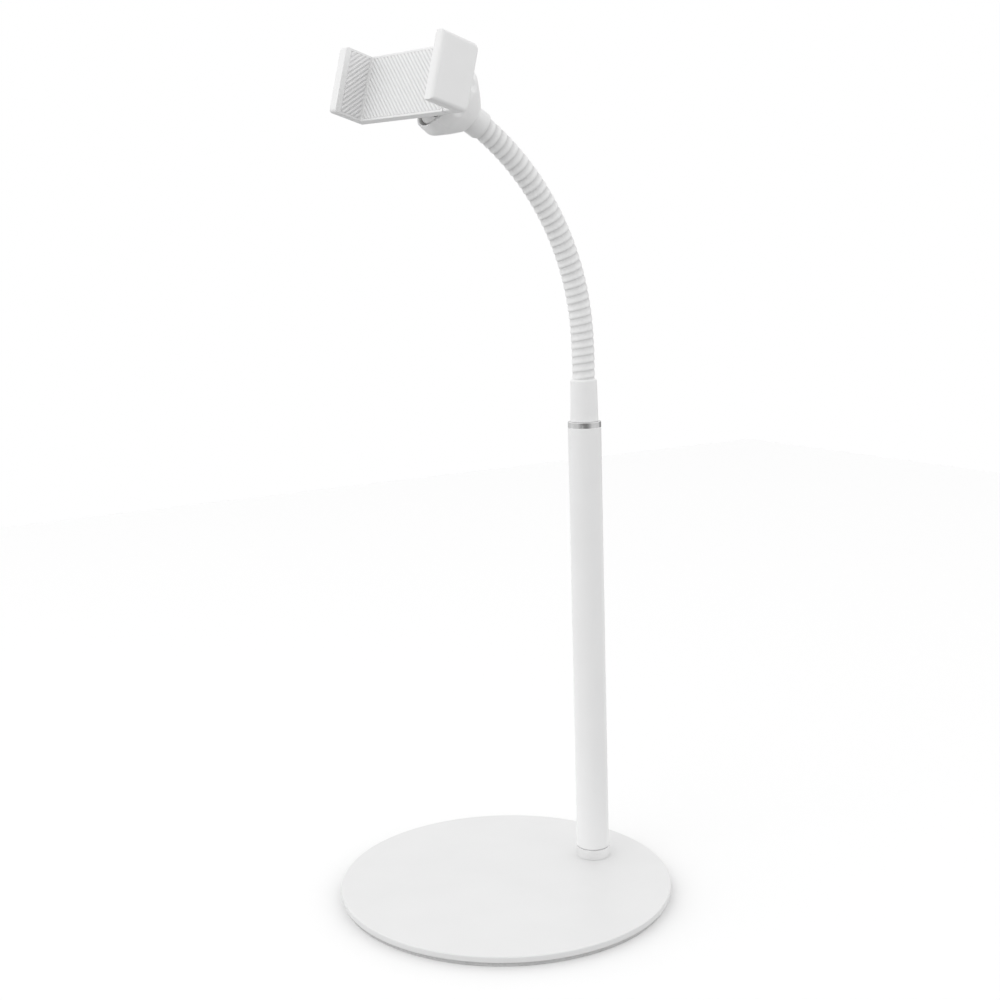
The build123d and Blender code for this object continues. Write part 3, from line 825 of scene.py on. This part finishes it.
def rib_tree():
    """Tree that makes a rubber pad with a wavy face.

    Each line of points runs along a rib from edge to edge, in five rows, counted from 0: it starts on the
    underside, goes over the face to its far end and comes back underneath.
    """
    group, tree, given = node_group("ribbed_pad", {
        "NodeSocketFloat": ("Width", "Height", "Base", "Rise", "Pitch", "Slant", "Fullness"),
        "NodeSocketInt": ("Lines",),
        "NodeSocketMaterial": ("Material",),
    })
    sheet, spot = open_sheet(tree, 1.0, given["Lines"], 5)
    along = tree.math("COSINE", given["Slant"]), tree.math("SINE", given["Slant"])
    half = tree.times(given["Width"], 0.5), tree.times(given["Height"], 0.5)
    reach_x = tree.times(half[0], tree.math("ABSOLUTE", along[1]))
    reach_y = tree.times(half[1], tree.math("ABSOLUTE", along[0]))
    across = tree.times(spot["X"], tree.times(tree.plus(reach_x, reach_y), 2.0))
    offset = tree.times(across, tree.times(along[1], -1.0)), tree.times(across, along[0])
    starts, ends = [], []
    for axis in (0, 1):
        low = tree.minus(tree.times(half[axis], -1.0), offset[axis])
        first = tree.over(low, along[axis])
        second = tree.over(tree.minus(half[axis], offset[axis]), along[axis])
        starts.append(tree.math("MINIMUM", first, second))
        ends.append(tree.math("MAXIMUM", first, second))
    start = tree.math("MAXIMUM", *starts)
    length = tree.math("MAXIMUM", tree.minus(tree.math("MINIMUM", *ends), start), 0.0)
    # Rows 1 and 2 lie on the face, rows 2 and 3 at the far end
    row = tree.times(tree.plus(spot["Y"], 0.5), 4.0)
    at_top = tree.math("COMPARE", row, 1.5, 1.0)
    at_end = tree.math("COMPARE", row, 2.5, 1.0)
    distance = tree.plus(start, tree.times(at_end, length))
    turn = tree.times(tree.over(across, given["Pitch"]), FULL_TURN)
    wave = tree.math("MULTIPLY_ADD", tree.math("COSINE", turn), 0.5, 0.5)
    crest = tree.math("POWER", wave, given["Fullness"])
    rib = tree.times(crest, given["Rise"])
    point = tree.out("ShaderNodeCombineXYZ", {
        "X": tree.math("MULTIPLY_ADD", distance, along[0], offset[0]),
        "Y": tree.math("MULTIPLY_ADD", distance, along[1], offset[1]),
        "Z": tree.times(at_top, tree.plus(given["Base"], rib)),
    })
    close_sheet(tree, tree.marked(sheet, "crest", crest), point, given["Material"])
    return group


def screw_tree():
    """Tree that sets one screw at each point, each turned by chance."""
    group, tree, given = node_group("set_screws", {
        "NodeSocketObject": ("Screw",),
        "NodeSocketInt": ("Seed",),
        "NodeSocketMaterial": ("Material",),
    })
    screw = tree.add("GeometryNodeObjectInfo", {"Object": given["Screw"]}).outputs["Geometry"]
    # A random number's lowest and highest value are the node's third and fourth inputs
    values = {2: 0.0, 3: math.pi / 2, "Seed": given["Seed"]}
    turn = tree.add("FunctionNodeRandomValue", values, data_type="FLOAT").outputs[1]
    screws = tree.out("GeometryNodeInstanceOnPoints", {
        "Points": given["Geometry"],
        "Instance": screw,
        "Rotation": tree.out("ShaderNodeCombineXYZ", {"Z": turn}),
    })
    end_tree(tree, screws, given["Material"])
    return group


# Operators


class HOLDER_OT_base(bpy.types.Operator):
    """Makes the round base plate and its anti-slip pad"""

    bl_idname = "holder.base"
    bl_label = "Base"

    def execute(self, context):
        base = settings().base
        radius = base.diameter / 2
        top = base.pad_thickness + base.thickness
        plate = [
            (0, base.pad_thickness, 0),
            (radius, base.pad_thickness, base.edge_radius),
            (radius, top, base.edge_radius),
            (0, top, 0),
        ]
        disc = lathe("base_disc", plate, Matrix(), DISC_STEPS)
        stand_in(carved(disc, pole_bore(base.bolt_hole / 2, 0, 2 * top)), "base_plate")
        pad_radius = radius - base.pad_inset
        pad = [
            (0, 0, 0),
            (pad_radius, 0, base.pad_edge),
            (pad_radius, base.pad_thickness, 0),
            (0, base.pad_thickness, 0),
        ]
        foot = lathe("base_foot", pad, Matrix(), DISC_STEPS)
        stand_in(carved(foot, pole_bore(base.head_pocket / 2, -top, top)), "base_pad")
        return {"FINISHED"}


class HOLDER_OT_pole(bpy.types.Operator):
    """Makes the pole, its chrome rings and the neck's lower collar"""

    bl_idname = "holder.pole"
    bl_label = "Pole"

    def execute(self, context):
        pole = settings().pole
        outer = pole.diameter / 2
        inner = outer - pole.wall
        bolt = settings().base.bolt_hole / 2
        low, high = heights("pole_tube")
        tube = [(inner, low, 0), (outer, low, pole.foot_edge), (outer, high, pole.top_edge), (inner, high, 0)]
        stand_in(lathe("pole", tube, pole_matrix), "pole_tube")
        for name, node, radius in (
            ("foot_band", "foot_ring", pole.ring_diameter / 2),
            ("top_band", "top_ring", outer),
        ):
            low, high = heights(node)
            edge = pole.ring_edge
            ring = [(bolt, low, 0), (radius, low, edge), (radius, high, edge), (bolt, high, 0)]
            stand_in(lathe(name, ring, pole_matrix), node)
        low, high = heights("lower_collar")
        bore = pole.collar_bore / 2
        collar = [
            (bore, low, 0),
            (pole.collar_diameter / 2, low, pole.collar_edge),
            (pole.collar_top / 2, high, pole.collar_lip),
            (bore, high, pole.collar_edge),
        ]
        stand_in(lathe("neck_sleeve", collar, pole_matrix), "lower_collar")
        return {"FINISHED"}


class HOLDER_OT_neck(bpy.types.Operator):
    """Winds the coiled neck along its curve and cuts it into one piece for each joint"""

    bl_idname = "holder.neck"
    bl_label = "Neck"

    tuck = 0.0015
    arc_steps = 16
    straight_angle = 1e-4

    def execute(self, context):
        neck = settings().neck
        points, middles = self.path()
        turns = math.floor(middles[-1] / neck.pitch) - 1
        source = line_mesh("neck_path", points, [(i, i + 1) for i in range(len(points) - 1)])
        mesh = grown_mesh("coil", source, coil_tree(), {
            "Turns": float(turns),
            "Pitch": neck.pitch,
            "Crest Radius": neck.crest_diameter / 2,
            "Root Radius": neck.root_diameter / 2,
            "Fullness": neck.fullness,
            "Crest Place": neck.crest_place,
            "Phase": neck.phase,
            "Rows": turns * neck.rows + 1,
            "Around": neck.around + 1,
            "Material": finish_for("neck_white"),
        })
        self.cut(mesh, middles)
        bpy.data.meshes.remove(mesh)
        return {"FINISHED"}

    def path(self):
        """Points along the neck's smooth curve, and the distance along it of each link's middle.

        The curve ends at the middle of the last link.
        """
        corners = neck_corners + [neck_corners[-1] + head_axis * link_length]
        middles = [(a + b) / 2 for a, b in zip(corners, corners[1:])]
        first = (corners[1] - corners[0]).normalized()
        points = [corners[0] - first * (self.tuck + settings().neck.pitch), middles[0]]
        travelled = [(points[1] - points[0]).length]
        shares = [step / self.arc_steps for step in range(1, self.arc_steps + 1)]
        for corner, start, end in zip(corners[1:], middles, middles[1:]):
            before, after = (start - corner).normalized(), (end - corner).normalized()
            half = before.angle(after) / 2
            if math.pi / 2 - half < self.straight_angle:
                steps = [start.lerp(end, share) for share in shares]
            else:
                reach = (start - corner).length
                radius = reach * math.tan(half)
                centre = corner + (before + after).normalized() * (reach / math.cos(half))
                arms = [(start - centre).slerp(end - centre, share) for share in shares]
                steps = [centre + arm.normalized() * radius for arm in arms]
            distance = travelled[-1]
            for point in steps:
                distance += (point - points[-1]).length
                points.append(point)
            travelled.append(distance)
        return points, travelled

    def cut(self, mesh, middles):
        """One closed piece for each joint of the neck, with the whole coil's normals."""
        mesh.shade_smooth()
        places = field_values(mesh.vertices, "co", 3)
        normals = field_values(mesh.vertex_normals, "vector", 3)
        ridges = field_values(mesh.attributes["ridge"].data, "value")
        stations = field_values(mesh.attributes["station"].data, "value")
        faces = [tuple(face.vertices) for face in mesh.polygons]
        owners = [sum(stations[list(face)].mean() > middle for middle in middles[1:-1]) for face in faces]
        for index in range(len(neck_joint_names)):
            own = [face for face, owner in zip(faces, owners) if owner == index]
            used = sorted({vertex for face in own for vertex in face})
            order = {vertex: place for place, vertex in enumerate(used)}
            part = bpy.data.meshes.new(f"coil_{index + 1}")
            part.from_pydata(places[used].tolist(), [], [[order[v] for v in face] for face in own])
            self.cap(part)
            ridge = part.attributes.new("ridge", "FLOAT", "POINT")
            ridge.data.foreach_set("value", ridges[used].astype(np.float32))
            part.shade_smooth()
            part.normals_split_custom_set_from_vertices(normals[used].tolist())
            self.bend(piece_from(part, "neck_white"), index)

    def cap(self, mesh):
        """Closes a piece's open ends."""
        bm = bmesh.new()
        bm.from_mesh(mesh)
        open_edges = [edge for edge in bm.edges if edge.is_boundary]
        for face in bmesh.ops.holes_fill(bm, edges=open_edges, sides=0)["faces"]:
            first, second = face.loops[0].edge.link_loops
            if first.vert == second.vert:
                face.normal_flip()
        write_mesh(bm, mesh)

    def bend(self, piece, index):
        """Bakes a piece's place into its mesh and hides the CAD links that it replaces."""
        links = [f"neck_link_{index + 1}"]
        if index + 1 < len(neck_joint_names):
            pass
        else:
            links.append("neck_end")
        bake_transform(piece)
        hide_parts(*links)


class HOLDER_OT_nut(bpy.types.Operator):
    """Makes the lobed lock nut, dished in front"""

    bl_idname = "holder.nut"
    bl_label = "Lock Nut"

    steps_per_lobe = 24

    def execute(self, context):
        nut = settings().nut
        front = nut.rear + nut.length
        dish = front - nut.dish_depth
        core_outer = nut.rim_diameter / 2 - nut.rim_wall
        core_inner = core_outer - nut.core_width
        corners = [
            (nut.rear_bore / 2, nut.rear, nut.edge),
            (nut.rear_diameter / 2, nut.rear, nut.rear_edge),
            (nut.shoulder_diameter / 2, nut.rear + nut.shoulder, nut.shoulder_edge),
            (nut.diameter / 2, front - nut.waist, nut.belly),
            (nut.rim_diameter / 2, front, nut.rim_edge),
            (core_outer, front, nut.edge),
            (core_outer, front - nut.core_depth, nut.core_edge),
            (core_inner, front - nut.core_depth, nut.core_edge),
            (core_inner, front - nut.face_drop, nut.edge),
            (nut.throat / 2, dish, nut.edge),
            (nut.bore / 2, dish - nut.thread_drop, 0),
            (nut.bore / 2, nut.rear + nut.hub_top, 0),
            (nut.hub_bore / 2, nut.rear + nut.hub_top, 0),
            (nut.hub_bore / 2, nut.rear + nut.hub_floor, 0),
            (nut.rear_bore / 2, nut.rear + nut.hub_floor, 0),
        ]
        steps = nut.lobes * self.steps_per_lobe
        stand_in(lathe("finger_nut", corners, head_matrix, steps, self.lobed), "lock_nut")
        return {"FINISHED"}

    def lobed(self, radius, angle):
        """Radius of the nut at an angle, eased into the round finger grooves."""
        nut = settings().nut
        sector = FULL_TURN / nut.lobes
        off = (angle - nut.phase + sector / 2) % sector - sector / 2
        groove_centre = nut.diameter / 2 - nut.groove_depth + nut.groove_radius
        inside = nut.groove_radius**2 - (groove_centre * math.sin(off)) ** 2
        if inside <= 0:
            return radius
        groove = groove_centre * math.cos(off) - math.sqrt(inside)
        gap = max(nut.softness - abs(radius - groove), 0.0) / nut.softness
        return min(radius, groove) - gap * gap * nut.softness / 4


class HOLDER_OT_ball_joint(bpy.types.Operator):
    """Makes the upper collar, the ball socket and the ball stud"""

    bl_idname = "holder.ball_joint"
    bl_label = "Ball Joint"

    edge = 0.0002
    cup_edge = 0.0001

    def execute(self, context):
        for name, node, edge in (
            ("head_sleeve", "upper_collar", self.edge),
            ("finger_socket", "ball_socket", self.edge),
            ("ball_and_stem", "ball_stud", self.edge),
            ("friction_cup", "ball_seat", self.cup_edge),
        ):
            stand_in(moulded_copy(name, node, edge), node)
        return {"FINISHED"}


class HOLDER_OT_clamp(bpy.types.Operator):
    """Makes the clamp's body, its rear cover and the moving jaw"""

    bl_idname = "holder.clamp"
    bl_label = "Clamp"

    def execute(self, context):
        edge = settings().clamp.edge
        for name, node in (
            ("clamp_shell", "clamp_body"),
            ("clamp_back", "rear_cover"),
            ("slide_jaw", "moving_jaw"),
        ):
            stand_in(moulded_copy(name, node, edge), node)
        return {"FINISHED"}


class HOLDER_OT_pads(bpy.types.Operator):
    """Makes the three rubber pads with their slanted ribs"""

    bl_idname = "holder.pads"
    bl_label = "Pads"

    def execute(self, context):
        clamp = settings().clamp
        rim = clamp.pad_rim + clamp.pad_gap
        height = clamp.height - 2 * rim
        back = clamp.plate_width - 2 * rim
        jaw = clamp.jaw_depth - rim - clamp.end_rim - clamp.pad_gap
        jaw_middle = rim + jaw / 2
        fixed_face = -clamp.plate_width / 2
        moving_face = clamp.plate_width / 2 + clamp.foot_width
        group = rib_tree()
        fixed = axes_matrix(UP, SIDE.cross(UP), SIDE, Vector((fixed_face, 0, jaw_middle)))
        moving = axes_matrix(UP, UP.cross(SIDE), -SIDE, Vector((moving_face, 0, jaw_middle)))
        for name, node, matrix, width, slant in (
            ("back_grip", "back_pad", Matrix(), back, -clamp.rib_slant),
            ("fixed_grip", "fixed_jaw_pad", fixed, jaw, clamp.rib_slant),
            ("moving_grip", "moving_jaw_pad", moving, jaw, -clamp.rib_slant),
        ):
            mesh = self.pad(name, group, width, height, slant)
            mesh.transform(clamp_matrix() @ matrix)
            smooth(mesh)
            stand_in(mesh, node)
        return {"FINISHED"}

    def pad(self, name, group, width, height, slant):
        """Pad with slanted ribs, its underside on the floor of its recess."""
        clamp = settings().clamp
        ribs = (width + height) / clamp.rib_pitch
        mesh = grown_mesh(name, bpy.data.meshes.new(name + "_blank"), group, {
            "Width": width,
            "Height": height,
            "Base": clamp.pad_base,
            "Rise": clamp.rib_height,
            "Pitch": clamp.rib_pitch,
            "Slant": slant,
            "Fullness": clamp.rib_fullness,
            "Lines": int(ribs * clamp.rib_lines),
            "Material": finish_for("pad_rubber"),
        })
        mesh.transform(Matrix.Translation((0, 0, -clamp.recess)))
        return mesh


class HOLDER_OT_hardware(bpy.types.Operator):
    """Gives the bolt, plugs, studs and springs their finish, and makes the cover's screws"""

    bl_idname = "holder.hardware"
    bl_label = "Hardware"

    def execute(self, context):
        for node in ("pole_bolt", "bottom_plug", "top_plug", "neck_stud", "stud_ring", "jaw_springs"):
            paint(frame["nodes"][node].data, node_slots[node])
        clamp, screw = settings().clamp, settings().screw
        columns = screw.left - clamp.plate_width / 2, clamp.plate_width / 2 - screw.right
        places = [(x, y, screw.seat) for x in columns for y in (-screw.row, screw.row)]
        model = placed("screw", self.cross_screw(screw))
        mesh = grown_mesh("cross_screws", line_mesh("screw_places", places, []), screw_tree(), {
            "Screw": model,
            "Seed": screw.seed,
            "Material": finish_for("steel"),
        })
        bpy.data.objects.remove(model)
        mesh.transform(clamp_matrix())
        stand_in(mesh, "cover_screws")
        return {"FINISHED"}

    def cross_screw(self, screw):
        """Pan-headed screw with a cross recess, its head towards the clamp's back."""
        head, shaft = screw.head_diameter / 2, screw.diameter / 2
        outline = [
            (0, -screw.head_height, 0),
            (head, -screw.head_height, screw.head_height / 3),
            (head, 0, 0),
            (shaft, 0, 0),
            (shaft, screw.length, shaft / 2),
            (0, screw.length, 0),
        ]
        reach, half = head * screw.slot_reach, screw.slot / 2
        floor, above = screw.slot_depth - screw.head_height, -2 * screw.head_height
        slots = (
            block("slot_x", (-reach, -half, above), (reach, half, floor)),
            block("slot_y", (-half, -reach, above), (half, reach, floor)),
        )
        return carved(lathe("screw", outline, Matrix(), SCREW_STEPS), *slots)


class HOLDER_OT_stage(bpy.types.Operator):
    """Makes the floor, the soft studio light and the camera"""

    bl_idname = "holder.stage"
    bl_label = "Stage"

    floor_size = 2.4
    floor_share = 0.9
    floor_glow = 0.08
    floor_bounce = 0.41
    zenith_light = 0.22
    horizon_light = 1.6
    ground_light = 0.5
    ground_span = (-0.15, 0.05)
    key_side = Vector((-0.487, -0.873, 0.0))
    key_tilt = 0.07
    flag_side = Vector((0.857, -0.515, 0.0))
    flag_light = 0.55
    flag_span = (0.72, 0.93)
    mirror_light = 0.56
    mirror_span = (0.0, 0.4)
    mirror_flag = 0.36
    mirror_flag_span = (0.64, 0.97)
    edge_side = Vector((-0.329, 0.944, 0.0))
    mirror_edge = 0.45
    mirror_edge_span = (0.9, 0.97)
    lamp_place = Vector((0.35, -0.9, 1.4))
    lamp_target = Vector((0, 0, 0.15))
    lamp_size = 1.2
    lamp_power = 2.0
    camera_place = Vector((0.56743, -0.33903, 0.3048))
    camera_forward = Vector((-0.8653, 0.4765, -0.1556)).normalized()
    camera_up = Vector((-0.1190, 0.1065, 0.9872))
    camera_sensor = 36.0
    camera_lens = 51.54
    camera_shift = (0.0566, -0.0159)
    camera_clip = (0.01, 50.0)

    def execute(self, context):
        context.scene.view_settings.view_transform = "Standard"
        self.floor()
        self.world(context.scene)
        self.lamp()
        self.camera(context.scene)
        return {"FINISHED"}

    def floor(self):
        """Pale floor that stays white to the eye and keeps a soft shadow."""
        mesh = bpy.data.meshes.new("floor")
        half = self.floor_size / 2
        corners = [(-half, -half, 0), (half, -half, 0), (half, half, 0), (-half, half, 0)]
        mesh.from_pydata(corners, [], [(0, 1, 2, 3)])
        tree = new_material("floor_paper")
        tree.tree.nodes.clear()
        path = tree.add("ShaderNodeLightPath").outputs
        mirrored = tree.math("MAXIMUM", path["Is Glossy Ray"], path["Is Transmission Ray"])
        seen = tree.math("MAXIMUM", path["Is Camera Ray"], mirrored)
        lit = tree.out("ShaderNodeBsdfDiffuse", {"Color": grey(self.floor_share)})
        glow = tree.out("ShaderNodeEmission", {"Color": grey(self.floor_glow), "Strength": 1.0})
        paper = tree.out("ShaderNodeAddShader", {0: lit, 1: glow})
        bounce = tree.out("ShaderNodeBsdfDiffuse", {"Color": grey(self.floor_bounce)})
        mixed = tree.out("ShaderNodeMixShader", {0: seen, 1: bounce, 2: paper})
        tree.add("ShaderNodeOutputMaterial", {"Surface": mixed})
        mesh.materials.append(tree.owner)
        placed("floor", mesh)

    def world(self, scene):
        """White surround, brighter round the horizon, with a dark flag on the camera's side.

        Mirrors see a plainer surround, with a second, narrow flag.
        """
        world = bpy.data.worlds.new("studio")
        world.use_nodes = True
        scene.world = world
        tree = Nodes(world.node_tree)
        world.node_tree.nodes.clear()
        path = tree.add("ShaderNodeLightPath").outputs
        direction = tree.add("ShaderNodeTexCoord").outputs["Generated"]
        height = tree.parts(direction)["Z"]
        facing = tree.towards(direction, self.flag_side)
        beside = tree.towards(direction, self.edge_side)
        above = tree.math("MAXIMUM", height, 0.0)
        low = tree.minus(1.0, tree.times(above, above))
        level = tree.plus(tree.times(low, self.horizon_light), self.zenith_light)
        keyed = tree.math("MULTIPLY_ADD", tree.towards(direction, self.key_side), self.key_tilt, 1.0)
        diffused = tree.times(level, keyed)
        diffused = tree.times(diffused, span(tree, height, self.ground_light, 1.0, *self.ground_span))
        diffused = tree.times(diffused, span(tree, facing, 1.0, self.flag_light, *self.flag_span))
        mirrored = span(tree, height, self.mirror_light, 1.0, *self.mirror_span)
        mirrored = tree.times(mirrored, span(tree, facing, 1.0, self.mirror_flag, *self.mirror_flag_span))
        mirrored = tree.times(mirrored, span(tree, beside, 1.0, self.mirror_edge, *self.mirror_edge_span))
        values = {"Factor": path["Is Glossy Ray"], "A": diffused, "B": mirrored}
        strength = tree.out("ShaderNodeMix", values)
        surround = tree.out("ShaderNodeBackground", {"Color": grey(1.0), "Strength": strength})
        plain = tree.out("ShaderNodeBackground", {"Color": grey(1.0), "Strength": 1.0})
        mixed = tree.out("ShaderNodeMixShader", {0: path["Is Camera Ray"], 1: surround, 2: plain})
        tree.add("ShaderNodeOutputWorld", {"Surface": mixed})

    def lamp(self):
        """One broad soft lamp above and in front."""
        data = bpy.data.lights.new("top_softbox", "AREA")
        data.shape = "DISK"
        data.size = self.lamp_size
        data.energy = self.lamp_power
        lamp = placed("top_softbox", data)
        lamp.location = self.lamp_place
        lamp.rotation_euler = (self.lamp_target - self.lamp_place).to_track_quat("-Z", "Y").to_euler()

    def camera(self, scene):
        """Camera at the photograph's angle."""
        data = bpy.data.cameras.new("camera")
        data.sensor_width = self.camera_sensor
        data.lens = self.camera_lens
        data.shift_x, data.shift_y = self.camera_shift
        data.clip_start, data.clip_end = self.camera_clip
        data.dof.use_dof = False
        right = self.camera_forward.cross(self.camera_up).normalized()
        up = right.cross(self.camera_forward)
        camera = placed("camera", data)
        camera.matrix_world = axes_matrix(right, up, -self.camera_forward, self.camera_place)
        scene.camera = camera


class HOLDER_PT_panel(bpy.types.Panel):
    """Holder's pieces and settings"""

    bl_idname = "HOLDER_PT_panel"
    bl_label = "Gooseneck Phone Holder"
    bl_space_type = "VIEW_3D"
    bl_region_type = "UI"
    bl_category = "Holder"

    def draw(self, context):
        holder = context.scene.phone_holder
        for operator in OPERATORS:
            self.layout.operator(operator.bl_idname)
        for label in ("base", "pole", "neck", "nut", "clamp", "screw", "finish"):
            group = getattr(holder, label)
            column = self.layout.box()
            for field in group.bl_rna.properties.keys():
                if field not in ("rna_type", "name"):
                    column.prop(group, field)


SETTINGS = (
    BaseSettings, PoleSettings, NeckSettings, NutSettings, ClampSettings, ScrewSettings, FinishSettings,
    HolderSettings,
)
OPERATORS = (
    HOLDER_OT_base, HOLDER_OT_pole, HOLDER_OT_neck, HOLDER_OT_nut, HOLDER_OT_ball_joint, HOLDER_OT_clamp,
    HOLDER_OT_pads, HOLDER_OT_hardware, HOLDER_OT_stage,
)
CLASSES = SETTINGS + OPERATORS + (HOLDER_PT_panel,)


def register():
    """Registers the settings, operators and panel."""
    for item in CLASSES:
        bpy.utils.register_class(item)
    bpy.types.Scene.phone_holder = PointerProperty(type=HolderSettings)


def unregister():
    """Removes what register added."""
    del bpy.types.Scene.phone_holder
    for item in reversed(CLASSES):
        bpy.utils.unregister_class(item)


def main():
    """Dresses the holder."""
    register()
    for operator in OPERATORS:
        group, name = operator.bl_idname.split(".")
        getattr(getattr(bpy.ops, group), name)()


if __name__ == "__main__":
    main()
